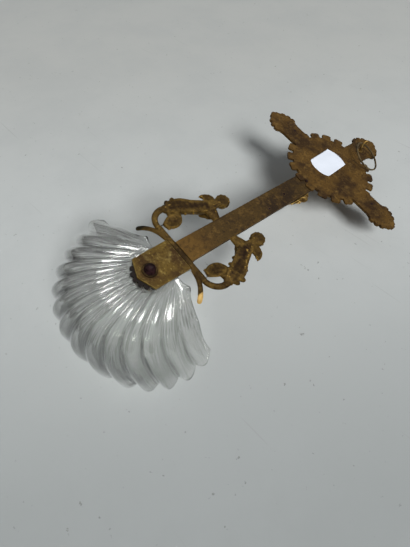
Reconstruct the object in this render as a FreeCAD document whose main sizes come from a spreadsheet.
import FreeCAD, Part
import math
import os
import re
import Sketcher
from FreeCAD import Placement, Rotation, Vector

# Holy water stoup: a cast brass cross with a corpus, two angel brackets and a
# pressed glass scallop shell. Upright, +Z up, +X to the viewer's right, the front
# faces -Y. Everything is drawn about the centre of the crossing, with the flat back
# of the castings in Y = 0. At the end it is moved so that the origin is the centre
# of the hanging eye, where the stoup's weight hangs. Millimetres.

doc = FreeCAD.newDocument("HolyWaterStoup")
sheet = doc.addObject("Spreadsheet::Sheet", "Sizes")

SIZES = {
    # cross head: side arms, top arm and glory, one casting
    "side_reach": 56.0,
    "top_reach": 54.8,
    "arm_half_width": 7.5,
    "head_thick": 1.7,
    "relief_height": 0.7,
    "relief_border": 2.2,
    "fleuron_length": 18.0,
    "fleuron_half_width": 9.9,
    "fleuron_step": 2.2,
    "fleuron_tip_half": 1.6,
    "glory_root_radius": 27.0,
    "ray_radius": 30.8,
    "ray_tip_width": 6.2,
    "ray_root_width": 5.2,
    "ray_count": 20,
    "ray_phase": 9.0,
    "glory_rise": 0.8,
    "ray_thick": 1.1,
    "centre_radius": 15.0,
    # shaft of the cross
    "shaft_half_width": 6.5,
    "shaft_thick": 2.0,
    "shaft_recess": 0.4,
    "shaft_foot": 131.7,
    "lap_top": 14.0,
    "lap_thick": 1.2,
    "lap_fit": 0.1,
    # pins that show as dark ends on the back
    "pin_radius": 0.8,
    "pin_fit": 0.02,
    "neck_pin_inset": 4.4,
    "back_pin_drop": 48.7,
    "foot_pin_drop": 65.7,
    "foot_pin_side": 3.3,
    "hand_reach": 35.5,
    "hand_rise": 2.0,
    "pin_length": 6.5,
    # corpus, in front of the cross
    "corpus_seat": 0.05,
    "corpus_step": 1.0,
    "corpus_head_radius": 4.2,
    "corpus_shoulder_half": 8.2,
    "corpus_depth": 6.6,
    "arm_radius": 1.8,
    "hand_radius": 1.6,
    "thigh_radius": 3.0,
    "shin_radius": 2.1,
    "knot_radius": 2.7,
    # claw bar: half-round bar across the foot of the shaft with two claws
    "bar_drop": 130.0,
    "bar_half_height": 1.7,
    "bar_thick": 1.8,
    "bar_reach": 18.2,
    "claw_width": 2.6,
    "claw_thick": 1.6,
    "claw_reach": 24.5,
    "claw_drop": 138.0,
    "claw_forward": 5.0,
    # angel brackets
    "bracket_gap": 0.05,
    "bracket_step": 1.0,
    "bracket_depth": 2.4,
    "scroll_radius": 8.0,
    "scroll_band": 3.4,
    "leaf_thick": 1.6,
    "angel_head_radius": 4.6,
    "angel_back": 0.7,
    "angel_head_x": 14.6,
    "angel_head_drop": 87.3,
    "hand_foot_drop": 98.9,
    "hand_foot_half": 2.7,
    # plate that carries the shell
    "plate_half_width": 9.6,
    "plate_end_half": 9.3,
    "plate_end_drop": 152.9,
    "plate_tip_drop": 156.6,
    "plate_thick": 1.0,
    "plate_gap": 0.05,
    # shell screw, washer, nut, pads and rosette
    "screw_drop": 149.5,
    "screw_radius": 1.9,
    "screw_fit": 0.1,
    "screw_head_radius": 4.0,
    "screw_head_height": 1.8,
    "nut_radius": 3.2,
    "nut_height": 3.2,
    "nut_wall": 0.9,
    "thread_fit": 0.02,
    "washer_radius": 3.9,
    "washer_thick": 0.6,
    "pad_thick": 0.9,
    "back_pad_radius": 8.0,
    "back_pad_lobe_radius": 1.2,
    "back_pad_lobes": 16,
    "front_pad_radius": 5.6,
    "rosette_radius": 6.4,
    "rosette_lobe_radius": 1.1,
    "rosette_lobes": 12,
    "rosette_thick": 1.4,
    # glass shell
    "glass_wall": 3.0,
    "glass_hole_radius": 2.6,
    "seat_margin": 0.5,
    "shell_top_drop": 135.2,
    "mouth_start": 7.2,
    "mouth_slope": 0.88,
    "rim_radius": 70.8,
    "rim_corner_less": 22.5,
    "fan_half_angle": 75.0,
    "ear_half_width": 16.6,
    "bowl_depth": 33.0,
    "umbo_height": 7.6,
    "scallop_depth": 2.4,
    "rib_height": 1.7,
    "rib_count": 14,
    "lip_lift": 3.0,
    # hanging eye and ring
    "eye_rise": 36.6,
    "eye_stand": 5.3,
    "eye_loop_radius": 3.0,
    "eye_wire_radius": 0.5,
    "eye_collar_radius": 2.3,
    "eye_collar_thick": 0.8,
    "eye_tenon_radius": 0.9,
    "ring_radius": 10.0,
    "ring_wire_radius": 0.62,
    "ring_swing_angle": 52.8,
    "ring_dip_angle": 9.7,
    "ring_roll_angle": 19.0,
    # paper stock label on the back
    "label_length": 26.0,
    "label_width": 16.0,
    "label_bump": 2.6,
    "label_thick": 0.12,
    "label_x": 3.6,
    "label_z": 1.6,
    "label_turn_angle": 3.0,
}

for row, (alias, number) in enumerate(SIZES.items(), start=1):
    sheet.set("A%d" % row, alias)
    sheet.set("B%d" % row, str(number))
    sheet.setAlias("B%d" % row, alias)
doc.recompute()


def size(alias):
    """The number that a cell of the sheet holds."""
    return float(getattr(sheet, alias))


def cells(text):
    """Turn the bare aliases of a formula into references to the sheet."""
    return re.sub(r"\b([a-z]+_[a-z_]+)\b", r"Sizes.\1", str(text))


# ---------------------------------------------------------------- helpers


def origin_plane(body, role):
    """One of a body's own origin planes."""
    for feature in body.Origin.OriginFeatures:
        if feature.Role == role:
            return feature
    raise ValueError(role)


def new_body(label):
    """A new body whose name and label are the piece's name."""
    body = doc.addObject("PartDesign::Body", label)
    body.Label = label
    return body


def new_sketch(body, name, role, offset):
    """An empty sketch on an origin plane, moved along the plane's normal."""
    sketch = body.newObject("Sketcher::SketchObject", name)
    sketch.AttachmentSupport = [(origin_plane(body, role), "")]
    sketch.MapMode = "FlatFace"
    sketch.setExpression("AttachmentOffset.Base.z", cells(offset))
    return sketch


def pin_point(sketch, geometry, vertex, name, across, along):
    """Fix one point of a sketch by two formulas."""
    for axis, formula in (("X", across), ("Y", along)):
        number = float(sketch.evalExpression(cells(formula)))
        index = sketch.addConstraint(
            Sketcher.Constraint("Distance" + axis, -1, 1, geometry, vertex, number))
        sketch.renameConstraint(index, name + axis)
        sketch.setExpression("Constraints." + name + axis, cells(formula))


def outline(body, name, role, corners, offset="0"):
    """A closed outline of straight lines through corners given as formulas."""
    sketch = new_sketch(body, name, role, offset)
    points = []
    for across, along in corners:
        x = float(sketch.evalExpression(cells(across)))
        y = float(sketch.evalExpression(cells(along)))
        points.append(Vector(x, y, 0))
    count = len(points)
    for i in range(count):
        sketch.addGeometry(Part.LineSegment(points[i], points[(i + 1) % count]), False)
    for i in range(count):
        sketch.addConstraint(Sketcher.Constraint("Coincident", i, 2, (i + 1) % count, 1))
    for i, (across, along) in enumerate(corners):
        pin_point(sketch, i, 1, "p%d" % i, across, along)
    return sketch


def circle(body, name, role, across, along, radius, offset="0"):
    """A round outline."""
    sketch = new_sketch(body, name, role, offset)
    centre = Vector(float(sketch.evalExpression(cells(across))),
                    float(sketch.evalExpression(cells(along))), 0)
    number = float(sketch.evalExpression(cells(radius)))
    sketch.addGeometry(Part.Circle(centre, Vector(0, 0, 1), number), False)
    index = sketch.addConstraint(Sketcher.Constraint("Radius", 0, number))
    sketch.renameConstraint(index, "round")
    sketch.setExpression("Constraints.round", cells(radius))
    pin_point(sketch, 0, 3, "centre", across, along)
    return sketch


def pad(body, name, sketch, length):
    """Raise a sketch by a length, towards the front on the XZ plane."""
    feature = body.newObject("PartDesign::Pad", name)
    feature.Profile = sketch
    feature.setExpression("Length", cells(length))
    sketch.Visibility = False
    return feature


def pocket(body, name, sketch, length=None, reverse=True):
    """Cut a sketch to a depth, or right through where no length is given."""
    feature = body.newObject("PartDesign::Pocket", name)
    feature.Profile = sketch
    feature.Reversed = reverse
    if length is None:
        feature.Type = "ThroughAll"
        feature.Midplane = True
    else:
        feature.setExpression("Length", cells(length))
    sketch.Visibility = False
    return feature


def revolve(body, name, sketch):
    """Turn a sketch right round the sketch's own upright axis."""
    feature = body.newObject("PartDesign::Revolution", name)
    feature.Profile = sketch
    feature.ReferenceAxis = (sketch, ["V_Axis"])
    feature.Angle = 360
    sketch.Visibility = False
    return feature


def front_rod(name, x, rise, back, radius, length):
    """A round rod whose back end is at Y = back and that runs to the front."""
    rod = doc.addObject("Part::Cylinder", name)
    rod.setExpression("Radius", cells(radius))
    rod.setExpression("Height", cells(length))
    rod.Placement = Placement(Vector(0, 0, 0), Rotation(Vector(1, 0, 0), 90))
    rod.setExpression("Placement.Base.x", cells(x))
    rod.setExpression("Placement.Base.y", cells(back))
    rod.setExpression("Placement.Base.z", cells(rise))
    return rod


def group(label, members):
    """Separate identical solids that share one node."""
    compound = doc.addObject("Part::Compound", label)
    compound.Label = label
    compound.Links = members
    return compound


def free_shape(label, shape):
    """A piece whose form is worked out in code from the sheet's values."""
    feature = doc.addObject("Part::Feature", label)
    feature.Label = label
    feature.Shape = shape
    return feature


def fused(shapes):
    """One solid from overlapping lumps, joined one after another."""
    whole = shapes[0]
    for shape in shapes[1:]:
        whole = whole.fuse(shape)
    return whole.removeSplitter()


def ellipse_wire(centre, half_x, half_y):
    """A level ellipse about a centre, wide along X and deep along Y."""
    if half_x >= half_y:
        curve = Part.Ellipse(centre + Vector(half_x, 0, 0), centre + Vector(0, half_y, 0), centre)
    else:
        curve = Part.Ellipse(centre + Vector(0, half_y, 0), centre + Vector(-half_x, 0, 0), centre)
    return Part.Wire([curve.toShape()])


def limb(start, end, start_radius, end_radius):
    """A round tapered limb with ball ends, each a little fuller than the stem."""
    run = end - start
    if abs(start_radius - end_radius) < 0.001:
        stem = Part.makeCylinder(start_radius, run.Length, start, run)
    else:
        stem = Part.makeCone(start_radius, end_radius, run.Length, start, run)
    first_ball = Part.makeSphere(start_radius * 1.03, start)
    last_ball = Part.makeSphere(end_radius * 1.06, end)
    return [stem, first_ball, last_ball]


def smooth_slab(points, back, front):
    """A flat ornament with a smooth closed outline in XZ, from back to front."""
    curve = Part.BSplineCurve()
    curve.interpolate([Vector(x, back, z) for x, z in points], PeriodicFlag=True)
    face = Part.Face(Part.Wire([curve.toShape()]))
    return face.extrude(Vector(0, front - back, 0))


def in_front(shape, seat):
    """What lies in front of the plane Y = seat."""
    reach = 400
    return shape.cut(Part.makeBox(reach, reach, reach, Vector(-reach / 2, seat, -reach / 2)))


# ---------------------------------------------------------------- cross head

FLEURON = (
    # distance back from the tip, and half width, as formulas
    ("fleuron_length", "arm_half_width"),
    ("fleuron_length * 0.84", "arm_half_width + fleuron_step * 0.35"),
    ("fleuron_length * 0.76", "fleuron_half_width"),
    ("fleuron_length * 0.63", "fleuron_half_width + fleuron_step * 0.1"),
    ("fleuron_length * 0.59", "fleuron_half_width - fleuron_step * 0.5"),
    ("fleuron_length * 0.54", "fleuron_half_width - fleuron_step * 0.4"),
    ("fleuron_length * 0.50", "fleuron_half_width - fleuron_step * 0.1"),
    ("fleuron_length * 0.41", "fleuron_half_width - fleuron_step * 0.5"),
    ("fleuron_length * 0.38", "fleuron_half_width - fleuron_step * 1.2"),
    ("fleuron_length * 0.33", "fleuron_half_width - fleuron_step * 1.1"),
    ("fleuron_length * 0.30", "fleuron_half_width - fleuron_step * 1.0"),
    ("fleuron_length * 0.22", "fleuron_half_width - fleuron_step * 1.6"),
    ("fleuron_length * 0.20", "fleuron_half_width - fleuron_step * 2.3"),
    ("fleuron_length * 0.15", "fleuron_tip_half + fleuron_step * 1.1"),
    ("fleuron_length * 0.07", "fleuron_tip_half + fleuron_step * 0.7"),
    ("fleuron_length * 0.05", "fleuron_tip_half"),
    ("0", "fleuron_tip_half * 0.6"),
)


def side_arm_corners():
    """The outline of both side arms with their crocketed ends."""
    right_up = [("side_reach - " + back, half) for back, half in FLEURON]
    right_down = [(x, "-(" + half + ")") for x, half in reversed(right_up)]
    left_down = [("-(" + x + ")", z) for x, z in reversed(right_down)]
    left_up = [("-(" + x + ")", half) for x, half in reversed(right_up)]
    return right_up + right_down + left_down + left_up


def top_arm_corners():
    """The outline of the top arm with its crocketed end."""
    right = [(half, "top_reach - " + back) for back, half in FLEURON]
    left = [("-(" + x + ")", z) for x, z in reversed(right)]
    return [("arm_half_width", "0")] + right + left + [("-arm_half_width", "0")]


def make_cross_head():
    body = new_body("cross_head")
    arms = outline(body, "SideArms", "XZ_Plane", side_arm_corners())
    pad(body, "SideArmsPad", arms, "head_thick")
    top = outline(body, "TopArm", "XZ_Plane", top_arm_corners())
    pad(body, "TopArmPad", top, "head_thick")
    disc = circle(body, "Glory", "XZ_Plane", "0", "glory_rise", "glory_root_radius")
    pad(body, "GloryPad", disc, "head_thick")
    ray = outline(body, "Ray", "XZ_Plane", (
        ("-ray_root_width / 2", "centre_radius"),
        ("-ray_tip_width / 2", "ray_radius - ray_tip_width * 0.12"),
        ("-ray_tip_width / 2 + 0.9", "ray_radius"),
        ("ray_tip_width / 2 - 0.9", "ray_radius"),
        ("ray_tip_width / 2", "ray_radius - ray_tip_width * 0.12"),
        ("ray_root_width / 2", "centre_radius")))
    ray.AttachmentOffset = Placement(Vector(0, 0, 0), Rotation(Vector(0, 0, 1), size("ray_phase")))
    ray.setExpression("AttachmentOffset.Base.y", cells("glory_rise"))
    ray.setExpression("AttachmentOffset.Rotation.Angle", cells("ray_phase"))
    ray_pad = pad(body, "RayPad", ray, "ray_thick")
    rays = body.newObject("PartDesign::PolarPattern", "Rays")
    rays.Originals = [ray_pad]
    rays.Axis = (ray, ["N_Axis"])
    rays.Angle = 360
    rays.setExpression("Occurrences", cells("ray_count"))
    body.Tip = rays
    boss = circle(body, "Centre", "XZ_Plane", "0", "0", "centre_radius", "head_thick")
    pad(body, "CentrePad", boss, "relief_height")
    inner = "arm_half_width - relief_border"
    side_end = "side_reach - fleuron_length * 0.6"
    top_end = "top_reach - fleuron_length * 0.6"
    panel = outline(body, "SidePanel", "XZ_Plane", (
        ("-(" + side_end + ")", "-(" + inner + ")"), (side_end, "-(" + inner + ")"),
        (side_end + " + relief_border * 2", "0"), (side_end, inner),
        ("-(" + side_end + ")", inner), ("-(" + side_end + " + relief_border * 2)", "0")), "head_thick")
    pad(body, "SidePanelPad", panel, "relief_height")
    upright = outline(body, "TopPanel", "XZ_Plane", (
        ("-(" + inner + ")", "0"), (inner, "0"), (inner, top_end),
        ("0", top_end + " + relief_border * 2"), ("-(" + inner + ")", top_end)), "head_thick")
    pad(body, "TopPanelPad", upright, "relief_height")
    lap = outline(body, "Lap", "XZ_Plane", (
        ("-(shaft_half_width + lap_fit)", "-(ray_radius + 2)"),
        ("shaft_half_width + lap_fit", "-(ray_radius + 2)"),
        ("shaft_half_width + lap_fit", "-lap_top"),
        ("-(shaft_half_width + lap_fit)", "-lap_top")), "head_thick - lap_thick")
    pocket(body, "LapPocket", lap, "lap_thick + relief_height + 1", reverse=True)
    for name, x, z, radius in (
            ("NeckPin", "0", "-(ray_radius - neck_pin_inset)", "pin_radius + pin_fit"),
            ("HandPinRight", "hand_reach", "hand_rise", "pin_radius + pin_fit"),
            ("HandPinLeft", "-hand_reach", "hand_rise", "pin_radius + pin_fit"),
            ("EyeTenon", "0", "eye_rise", "eye_tenon_radius + pin_fit")):
        hole = circle(body, name + "Hole", "XZ_Plane", x, z, radius)
        pocket(body, name + "Cut", hole)
    return body


# ---------------------------------------------------------------- shaft and pins


def make_shaft():
    body = new_body("shaft")
    blade = outline(body, "Blade", "XZ_Plane", (
        ("-shaft_half_width", "-(ray_radius + 2)"),
        ("shaft_half_width", "-(ray_radius + 2)"),
        ("shaft_half_width", "-(bar_drop - bar_half_height - plate_gap)"),
        ("-shaft_half_width", "-(bar_drop - bar_half_height - plate_gap)")), "shaft_recess")
    pad(body, "BladePad", blade, "shaft_thick")
    tongue_back = "head_thick - lap_thick + lap_fit"
    tongue = outline(body, "Tongue", "XZ_Plane", (
        ("-shaft_half_width", "-(ray_radius + 3)"),
        ("shaft_half_width", "-(ray_radius + 3)"),
        ("shaft_half_width", "-(lap_top + lap_fit)"),
        ("-shaft_half_width", "-(lap_top + lap_fit)")), tongue_back)
    pad(body, "TonguePad", tongue, "shaft_recess + shaft_thick - (" + tongue_back + ")")
    foot = outline(body, "Foot", "XZ_Plane", (
        ("-shaft_half_width", "-(bar_drop - bar_half_height - 2)"),
        ("shaft_half_width", "-(bar_drop - bar_half_height - 2)"),
        ("shaft_half_width", "-shaft_foot"),
        ("-shaft_half_width", "-shaft_foot")), "bar_thick + lap_fit")
    pad(body, "FootPad", foot, "shaft_recess + shaft_thick + relief_height - bar_thick")
    for name, x, z in (
            ("NeckPin", "0", "-(ray_radius - neck_pin_inset)"),
            ("BackPin", "0", "-back_pin_drop"),
            ("FootPin", "-foot_pin_side", "-foot_pin_drop")):
        hole = circle(body, name + "Hole", "XZ_Plane", x, z, "pin_radius + pin_fit")
        pocket(body, name + "Cut", hole)
    return body


def make_pins():
    front = "shaft_recess + shaft_thick"
    front_rod("neck_pin", "0", "-(ray_radius - neck_pin_inset)", "0", "pin_radius", front).Label = "neck_pin"
    back = front_rod("BackPinRod", "0", "-back_pin_drop", "-shaft_recess", "pin_radius", "pin_length")
    foot = front_rod("FootPinRod", "-foot_pin_side", "-foot_pin_drop", "-shaft_recess",
                     "pin_radius", "pin_length")
    right = front_rod("HandPinRightRod", "hand_reach", "hand_rise", "0", "pin_radius", "pin_length")
    left = front_rod("HandPinLeftRod", "-hand_reach", "hand_rise", "0", "pin_radius", "pin_length")
    group("body_pins", [back, foot])
    group("hand_pins", [right, left])


# ---------------------------------------------------------------- corpus


def make_corpus():
    """A generic corpus: head bowed, arms raised a little, knees turned aside."""
    seat = -(size("head_thick") + size("relief_height") + size("corpus_seat"))
    depth = size("corpus_depth")
    shoulder = size("corpus_shoulder_half")
    reach = size("hand_reach")
    rise = size("hand_rise")
    step = size("corpus_step")
    foot = Vector(-size("foot_pin_side") * 0.5, seat - 2.2 * step, -size("foot_pin_drop") + step)
    mid = seat - depth * 0.45
    middle = Vector(0, mid, 0)
    stations = (
        # height and centre x in steps, half width, half depth
        (-3.5, 0.0, shoulder * 0.40, depth * 0.30),
        (-6.5, 0.0, shoulder, depth * 0.42),
        (-11.5, 0.2, shoulder * 0.95, depth * 0.55),
        (-18.0, 0.5, shoulder * 0.72, depth * 0.48),
        (-23.5, 0.4, shoulder * 0.68, depth * 0.46),
        (-29.0, 0.0, shoulder * 0.84, depth * 0.56),
        (-34.5, 0.2, shoulder * 0.86, depth * 0.58),
    )
    wires = []
    for height, x, half, deep in stations:
        wires.append(ellipse_wire(middle + Vector(x, 0, height) * step, half, deep))
    lumps = [Part.makeLoft(wires, True, False)]
    head = middle + Vector(1.6, -2.2, 1.8) * step
    chin = head - Vector(0.7, 0.9, 2.6) * step
    lumps += limb(head, chin, size("corpus_head_radius") * 0.92, size("corpus_head_radius") * 0.66)
    nape = middle + Vector(0.3, 0, -6.5) * step
    lumps += limb(nape, head - Vector(0, 0.2, 0.8) * step, 2.3 * step, 1.9 * step)
    for side in (-1, 1):
        joint = Vector(side * shoulder, mid, 0) - Vector(side * 1.5, 0.3, 7.6) * step
        elbow = Vector(0, seat, 0) + Vector(side * 20.5, -2.6, -3.2) * step
        hand = Vector(side * reach, seat - 1.2 * step, rise)
        lumps += limb(joint, elbow, size("arm_radius") * 1.45, size("arm_radius"))
        lumps += limb(elbow, hand, size("arm_radius"), size("hand_radius"))
        hip = middle + Vector(side * 3.4, 0, -33.5) * step
        knee = Vector(0, seat - depth * 0.95, 0) + Vector(2.2 + side * 2.3, 0, -47.5) * step
        ankle = foot + Vector(side * 0.9 + 0.4, -0.4, 4.0) * step
        lumps += limb(hip, knee, size("thigh_radius") * 1.15, size("thigh_radius") * 0.85)
        lumps += limb(knee, ankle, size("shin_radius") * 1.15, size("shin_radius") * 0.85)
    heel = foot + Vector(0.4, -0.4, 4.4) * step
    lumps += limb(heel, foot + Vector(0, -1.0, -2.4) * step, 1.9 * step, 1.5 * step)
    knot = Vector(-shoulder, seat, 0) + Vector(1.2, -2.2, -33.0) * step
    lumps.append(Part.makeSphere(size("knot_radius"), knot))
    lumps += limb(knot, knot + Vector(0.6, 0.9, -12.0) * step, size("knot_radius") * 0.7, 0.8 * step)
    body = in_front(fused(lumps), seat)
    hand_seat = size("pin_radius") + size("pin_fit")
    for x, z in ((0, -size("back_pin_drop")), (-size("foot_pin_side"), -size("foot_pin_drop")),
                 (reach, rise), (-reach, rise)):
        depth_cut = size("shaft_recess") + size("pin_length") + size("pin_fit")
        body = body.cut(Part.makeCylinder(hand_seat, depth_cut, Vector(x, 0, z), Vector(0, -1, 0)))
    free_shape("corpus", body)


# ---------------------------------------------------------------- claw bar


def make_claw_bar():
    """A half-round bar across the foot of the shaft, with two claws for the shell."""
    drop = size("bar_drop")
    half = size("bar_half_height")
    thick = size("bar_thick")
    reach = size("bar_reach")
    bar = Part.makeBox(2 * reach, thick, 2 * half, Vector(-reach, -thick, -drop - half))
    edges = [edge for edge in bar.Edges
             if abs(edge.CenterOfMass.y) < 0.01 and abs(edge.CenterOfMass.x) < 0.01]
    bar = bar.makeFillet(half * 0.8, edges)
    start = Vector(size("plate_half_width") + size("claw_width") * 0.7, -thick / 2, -drop - half * 0.7)
    bend = Vector(size("claw_reach") - size("claw_width") * 0.6, -thick / 2, -drop - half * 2.3)
    tip = Vector(size("claw_reach"), -size("claw_forward"), -size("claw_drop"))
    path = Part.BezierCurve()
    path.setPoles([start, bend, tip])
    sections = []
    for share, width in ((0.0, 1.0), (0.35, 1.0), (0.7, 0.85), (1.0, 0.62)):
        at = path.value(share)
        along = path.tangent(share)[0]
        across = along.cross(Vector(0, 1, 0)).normalize()
        up = along.cross(across).normalize()
        major = size("claw_width") / 2 * width
        minor = size("claw_thick") / 2 * width
        curve = Part.Ellipse(at + across * major, at + up * minor, at)
        sections.append(Part.Wire([curve.toShape()]))
    claw = Part.makeLoft(sections, True, False)
    lumps = [bar, claw, claw.mirror(Vector(0, 0, 0), Vector(1, 0, 0))]
    free_shape("claw_bar", fused(lumps))


# ---------------------------------------------------------------- angel brackets

# the forms below are in steps of the bracket's pattern
ANGEL_STATIONS = (
    # x, drop, half width, half depth: from the scroll up to the neck
    (24.6, 119.0, 2.2, 2.6),
    (24.4, 115.8, 3.9, 4.0),
    (22.9, 111.0, 5.0, 5.0),
    (19.7, 106.3, 5.1, 5.2),
    (17.2, 101.8, 4.7, 5.0),
    (15.6, 97.0, 3.6, 4.2),
    (14.7, 90.6, 2.2, 3.0),
)
WING = ((15.6, 91.6), (18.2, 90.6), (21.0, 91.2), (22.9, 93.6), (23.8, 97.2), (21.2, 96.8), (18.6, 95.2),
        (15.6, 95.0))
LEAF = ((18.9, 114.6), (14.9, 116.4), (13.0, 120.5), (14.0, 124.8), (17.3, 127.6),
        (20.3, 123.9), (21.6, 119.8), (20.6, 116.2))
CROCKETS = ((27.2, 109.9, 1.6), (27.5, 115.2, 1.7), (23.8, 105.2, 1.4))


def make_bracket(side, label):
    """One cast bracket: a scroll with a leaf, and an angel that grows from it."""
    deep = size("bracket_depth")
    step = size("bracket_step")
    centre = Vector(size("bar_reach") + size("bracket_gap"), -deep / 2 - 0.1 * step,
                    -(size("bar_drop") - size("scroll_radius")))
    radius = size("scroll_radius")
    low = Vector(centre.x, centre.y, centre.z - radius)
    angle = math.radians(32)
    high = centre + Vector(radius * math.cos(angle), 0, radius * math.sin(angle))
    middle_angle = math.radians(-30)
    bulge = centre + Vector(radius * math.cos(middle_angle), 0, radius * math.sin(middle_angle))
    path = Part.Wire([Part.Arc(low, bulge, high).toShape()])
    half_band = size("scroll_band") / 2
    profile = Part.Ellipse(low + Vector(0, 0, half_band), low + Vector(0, deep / 2, 0), low)
    lumps = [path.makePipeShell([Part.Wire([profile.toShape()])], True, True)]
    wires = []
    for x, drop, half, thick in ANGEL_STATIONS:
        middle = Vector(x * step, -size("angel_back"), -drop * step)
        wires.append(ellipse_wire(middle, half * step, thick * step))
    lumps.append(Part.makeLoft(wires, True, False))
    head = Vector(size("angel_head_x"), -size("angel_head_radius") * 0.36, -size("angel_head_drop"))
    lumps.append(Part.makeSphere(size("angel_head_radius"), head))
    foot = Vector(size("shaft_half_width") + size("bracket_gap"), 0, -size("hand_foot_drop"))
    arm = Part.makePolygon([foot + Vector(0, 0, size("hand_foot_half")),
                            Vector(13.6, 0, -93.6) * step, Vector(13.6, 0, -102.0) * step,
                            foot - Vector(0, 0, size("hand_foot_half")),
                            foot + Vector(0, 0, size("hand_foot_half"))])
    arm_face = Part.Face(arm)
    arm_face.translate(Vector(0, 1, 0))
    lumps.append(arm_face.extrude(Vector(0, -deep - 1, 0)))
    for edge in (WING, LEAF):
        corners = [(x * step, -drop * step) for x, drop in edge]
        lumps.append(smooth_slab(corners, step, -size("leaf_thick")))
    stalk = (Vector(20.4, -1.2, -112.5) * step, Vector(18.9, -0.9, -116.5) * step)
    lumps += limb(stalk[0], stalk[1], 1.3 * step, 1.0 * step)
    for x, drop, round_radius in CROCKETS:
        spot = Vector(x, -round_radius * 0.7, -drop) * step
        lumps.append(Part.makeSphere(round_radius * step, spot))
    shape = in_front(fused(lumps), 0)
    if side < 0:
        shape = shape.mirror(Vector(0, 0, 0), Vector(1, 0, 0))
    free_shape(label, shape)


# ---------------------------------------------------------------- plate, screw, pads


def make_shell_plate():
    body = new_body("shell_plate")
    top = "-(bar_drop + bar_half_height + plate_gap)"
    house = outline(body, "House", "XZ_Plane", (
        ("-plate_half_width", top), ("plate_half_width", top),
        ("plate_end_half", "-plate_end_drop"), ("0", "-plate_tip_drop"),
        ("-plate_end_half", "-plate_end_drop")))
    pad(body, "HousePad", house, "plate_thick")
    hole = circle(body, "ScrewHole", "XZ_Plane", "0", "-screw_drop", "screw_radius + screw_fit")
    pocket(body, "ScrewCut", hole)
    return body


def scalloped(body, seat, thick, radius, lobe_radius, lobe_count):
    """A disc with a scalloped edge and a hole, about the shell screw."""
    body.setExpression("Placement.Base.z", cells("-screw_drop"))
    disc = circle(body, "Disc", "XZ_Plane", "0", "0", radius, seat)
    pad(body, "DiscPad", disc, thick)
    lobe = circle(body, "Lobe", "XZ_Plane", "0", radius, lobe_radius, seat)
    lobe_pad = pad(body, "LobePad", lobe, thick)
    lobes = body.newObject("PartDesign::PolarPattern", "Lobes")
    lobes.Originals = [lobe_pad]
    lobes.Axis = (lobe, ["N_Axis"])
    lobes.Angle = 360
    lobes.setExpression("Occurrences", cells(lobe_count))
    body.Tip = lobes
    bore = circle(body, "Bore", "XZ_Plane", "0", "0", "screw_radius + screw_fit")
    pocket(body, "BoreCut", bore)


def make_pads():
    back = new_body("back_pad")
    scalloped(back, "plate_thick", "pad_thick", "back_pad_radius", "back_pad_lobe_radius", "back_pad_lobes")
    front = new_body("front_pad")
    disc = circle(front, "Disc", "XZ_Plane", "0", "-screw_drop", "front_pad_radius",
                  "plate_thick + pad_thick + glass_wall")
    pad(front, "DiscPad", disc, "pad_thick")
    bore = circle(front, "FrontHole", "XZ_Plane", "0", "-screw_drop", "screw_radius + screw_fit")
    pocket(front, "FrontCut", bore)


def make_rosette():
    body = new_body("shell_rosette")
    seat = "plate_thick + 2 * pad_thick + glass_wall"
    scalloped(body, seat, "rosette_thick", "rosette_radius", "rosette_lobe_radius", "rosette_lobes")


def turned(label, profile):
    """A piece turned about the screw's axis: radius across, Y along."""
    body = new_body(label)
    body.setExpression("Placement.Base.z", cells("-screw_drop"))
    sketch = outline(body, "Profile", "XY_Plane", profile)
    revolve(body, "Turned", sketch)
    return body


def make_screw_parts():
    seat = "-(plate_thick + 2 * pad_thick + glass_wall + rosette_thick)"
    shank_end = "washer_thick + nut_height - nut_wall - 0.2"
    turned("shell_screw", (
        ("0", seat + " - screw_head_height"),
        ("screw_head_radius * 0.55", seat + " - screw_head_height"),
        ("screw_head_radius * 0.9", seat + " - screw_head_height * 0.6"),
        ("screw_head_radius", seat),
        ("screw_radius", seat),
        ("screw_radius", shank_end),
        ("0", shank_end)))
    turned("nut_washer", (
        ("screw_radius + screw_fit", "0"),
        ("washer_radius", "0"),
        ("washer_radius", "washer_thick * 0.6"),
        ("washer_radius - 0.3", "washer_thick"),
        ("screw_radius + screw_fit", "washer_thick")))
    turned("dome_nut", (
        ("screw_radius + thread_fit", "washer_thick"),
        ("nut_radius", "washer_thick"),
        ("nut_radius", "washer_thick + nut_height * 0.3"),
        ("nut_radius * 0.93", "washer_thick + nut_height * 0.55"),
        ("nut_radius * 0.74", "washer_thick + nut_height * 0.78"),
        ("nut_radius * 0.42", "washer_thick + nut_height * 0.95"),
        ("0", "washer_thick + nut_height"),
        ("0", "washer_thick + nut_height - nut_wall"),
        ("screw_radius + thread_fit", "washer_thick + nut_height - nut_wall")))


# ---------------------------------------------------------------- glass shell


def shell_frame():
    """Start of the fan, the way down the mouth plane, and the way out of the bowl."""
    tilt = math.atan(size("mouth_slope"))
    down = Vector(0, -math.sin(tilt), -math.cos(tilt))
    out = Vector(0, math.cos(tilt), -math.sin(tilt))
    start = Vector(0, -size("mouth_start"), -size("shell_top_drop"))
    return start, down, out


def shell_middle(u, v, scallop):
    """The smooth outer skin: u runs from side to side, v from the top to the rim."""
    start, down, out = shell_frame()
    angle = math.radians(size("fan_half_angle")) * u
    radius = size("rim_radius") - size("rim_corner_less") * u * u - scallop
    ear = size("ear_half_width") * (0.25 * u + 0.75 * u ** 3)
    bulge = math.sin(math.pi * min(v, 1.0) ** 1.2) ** 0.97 if 0 < v < 1 else 0.0
    height = size("umbo_height") * (1 - v) + size("bowl_depth") * (1 - abs(u) ** 2.2) * bulge
    point = start + down * (radius * v * math.cos(angle)) + out * height
    point.x += ear * (1 - v) + radius * v * math.sin(angle)
    lift = max(0.0, (v - 0.72) / 0.28) ** 2 * math.cos(angle) ** 4
    point.z += size("lip_lift") * lift
    return point


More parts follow.
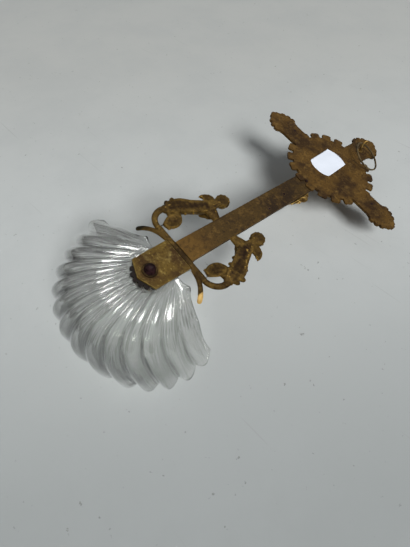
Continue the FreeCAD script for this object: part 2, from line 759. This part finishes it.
def shell_normal(u, v):
    """The way out of the smooth skin, from two short steps along it."""
    step = 0.01
    low = max(v, 0.02)
    along = shell_middle(u, min(low + step, 0.995), 0) - shell_middle(u, low - step, 0)
    across = shell_middle(u + step, low, 0) - shell_middle(u - step, low, 0)
    return across.cross(along).normalize()


def shell_skin(inner):
    """The outer or inner skin as one smooth surface through a grid of points."""
    ribs = int(size("rib_count"))
    columns = ribs * 4
    rows = 16
    grid = []
    for i in range(columns + 1):
        u = -1 + 2 * i / columns
        crest = 0.5 - 0.5 * math.cos(math.pi * ribs * (u + 1))
        line = []
        for j in range(rows + 1):
            v = (j / rows) ** 0.9
            grow = min(1.0, max(0.0, (v - 0.22) / 0.35))
            scallop = size("scallop_depth") * (1 - crest) * grow
            point = shell_middle(u, v, scallop)
            normal = shell_normal(u, v)
            dip = size("rib_height") * (1 - crest) * grow
            if inner:
                point = point - normal * (size("glass_wall") + dip * 0.5)
            else:
                point = point - normal * dip
            line.append(point)
        grid.append(line)
    surface = Part.BSplineSurface()
    surface.interpolate(grid)
    return surface


def make_glass_shell():
    outer = shell_skin(False)
    inner = shell_skin(True)
    faces = [outer.toShape(), inner.toShape()]
    first_u, last_u, first_v, last_v = outer.bounds()
    for u in (first_u, last_u):
        faces.append(Part.makeRuledSurface(outer.uIso(u).toShape(), inner.uIso(u).toShape()))
    for v in (first_v, last_v):
        faces.append(Part.makeRuledSurface(outer.vIso(v).toShape(), inner.vIso(v).toShape()))
    skin = Part.makeShell(faces)
    skin.sewShape()
    solid = Part.makeSolid(skin)
    if solid.Volume < 0:
        solid.reverse()
    seat = -(size("plate_thick") + size("pad_thick"))
    drop = -size("screw_drop")
    flat = size("back_pad_radius") + size("back_pad_lobe_radius") + size("seat_margin")
    block = Part.makeBox(2 * flat, 8, 2.6 * flat, Vector(-flat, seat, drop - flat))
    solid = solid.cut(block)
    face_radius = size("rosette_radius") + size("rosette_lobe_radius") + size("seat_margin")
    solid = solid.cut(Part.makeCylinder(face_radius, 12,
                                        Vector(0, seat - size("glass_wall"), drop), Vector(0, -1, 0)))
    solid = solid.cut(Part.makeCylinder(size("glass_hole_radius"), 30,
                                        Vector(0, 5, drop), Vector(0, -1, 0)))
    free_shape("glass_shell", solid)


# ---------------------------------------------------------------- eye and ring


def make_eye():
    """A riveted eye: tenon through the head, collar, neck and a round loop."""
    rise, stand = size("eye_rise"), size("eye_stand")
    collar = size("eye_collar_thick")
    loop = Part.makeTorus(size("eye_loop_radius"), size("eye_wire_radius"),
                          Vector(0, stand, rise), Vector(1, 0, 0))
    neck = Part.makeCone(size("eye_collar_radius") * 0.62, size("eye_wire_radius") * 1.1,
                         stand - size("eye_loop_radius") - collar, Vector(0, collar, rise), Vector(0, 1, 0))
    base = Part.makeCylinder(size("eye_collar_radius"), collar, Vector(0, 0, rise), Vector(0, 1, 0))
    tenon = Part.makeCylinder(size("eye_tenon_radius"), size("head_thick") + size("relief_height"),
                              Vector(0, 0, rise), Vector(0, -1, 0))
    free_shape("ring_eye", fused([loop, neck, base, tenon]))


def make_ring():
    """The wire ring, which lies over to one side against the back."""
    ring = doc.addObject("Part::Torus", "hanging_ring")
    ring.Label = "hanging_ring"
    ring.setExpression("Radius1", cells("ring_radius"))
    ring.setExpression("Radius2", cells("ring_wire_radius"))
    turn = Rotation(Vector(0, 1, 0), size("ring_swing_angle"))
    turn = turn.multiply(Rotation(Vector(1, 0, 0), -size("ring_dip_angle")))
    turn = turn.multiply(Rotation(Vector(0, 0, 1), size("ring_roll_angle")))
    eye = Vector(0, size("eye_stand"), size("eye_rise"))
    centre = eye + turn.multVec(Vector(0, 0, -size("ring_radius")))
    ring.Placement = Placement(centre, turn.multiply(Rotation(Vector(1, 0, 0), -90)))


# ---------------------------------------------------------------- stock label


def make_label():
    """A blank paper label with a rounded bump at each end."""
    body = new_body("stock_label")
    body.setExpression("Placement.Base.x", cells("label_x"))
    body.setExpression("Placement.Base.z", cells("label_z"))
    half = "label_width / 2"
    end = "label_length / 2"
    right = ((half, end + " - label_bump"), ("label_width * 0.32", end + " - label_bump * 0.62"),
             ("label_width * 0.2", end + " - label_bump * 0.12"), ("label_width * 0.08", end))
    up = list(right) + [("-(" + x + ")", z) for x, z in reversed(right)]
    down = [("-(" + x + ")", "-(" + z + ")") for x, z in up]
    sketch = outline(body, "Paper", "XZ_Plane", up + down, "-label_thick")
    pad(body, "PaperPad", sketch, "label_thick")
    body.setExpression("Placement.Rotation.Angle", cells("label_turn_angle"))
    body.Placement = Placement(body.Placement.Base, Rotation(Vector(0, 1, 0), size("label_turn_angle")))


# ---------------------------------------------------------------- build


make_cross_head()
make_shaft()
make_pins()
make_corpus()
make_claw_bar()
make_bracket(1, "angel_bracket_right")
make_bracket(-1, "angel_bracket_left")
make_shell_plate()
make_pads()
make_rosette()
make_screw_parts()
make_glass_shell()
make_eye()
make_ring()
make_label()
doc.recompute()

NODES = (
    "cross_head", "shaft", "neck_pin", "body_pins", "hand_pins", "corpus", "claw_bar",
    "angel_bracket_right", "angel_bracket_left", "shell_plate", "back_pad", "glass_shell",
    "front_pad", "shell_rosette", "shell_screw", "nut_washer", "dome_nut", "ring_eye",
    "hanging_ring", "stock_label",
)

for thing in doc.Objects:
    if "Invalid" in thing.State or "Error" in thing.State:
        raise RuntimeError("failed: " + thing.Label)

os.makedirs("parts", exist_ok=True)
eye_centre = Vector(0, size("eye_stand"), size("eye_rise"))
for node in NODES:
    shape = doc.getObjectsByLabel(node)[0].Shape
    if shape.isNull() or not shape.isValid():
        raise RuntimeError("bad shape: " + node)
    shape = shape.translated(-eye_centre)
    box = shape.optimalBoundingBox()
    print("%-20s solids %d volume %9.2f  x %7.2f %7.2f  y %7.2f %7.2f  z %8.2f %8.2f" % (
        node, len(shape.Solids), shape.Volume, box.XMin, box.XMax, box.YMin, box.YMax, box.ZMin, box.ZMax))
    shape.exportStep("parts/" + node + ".step")
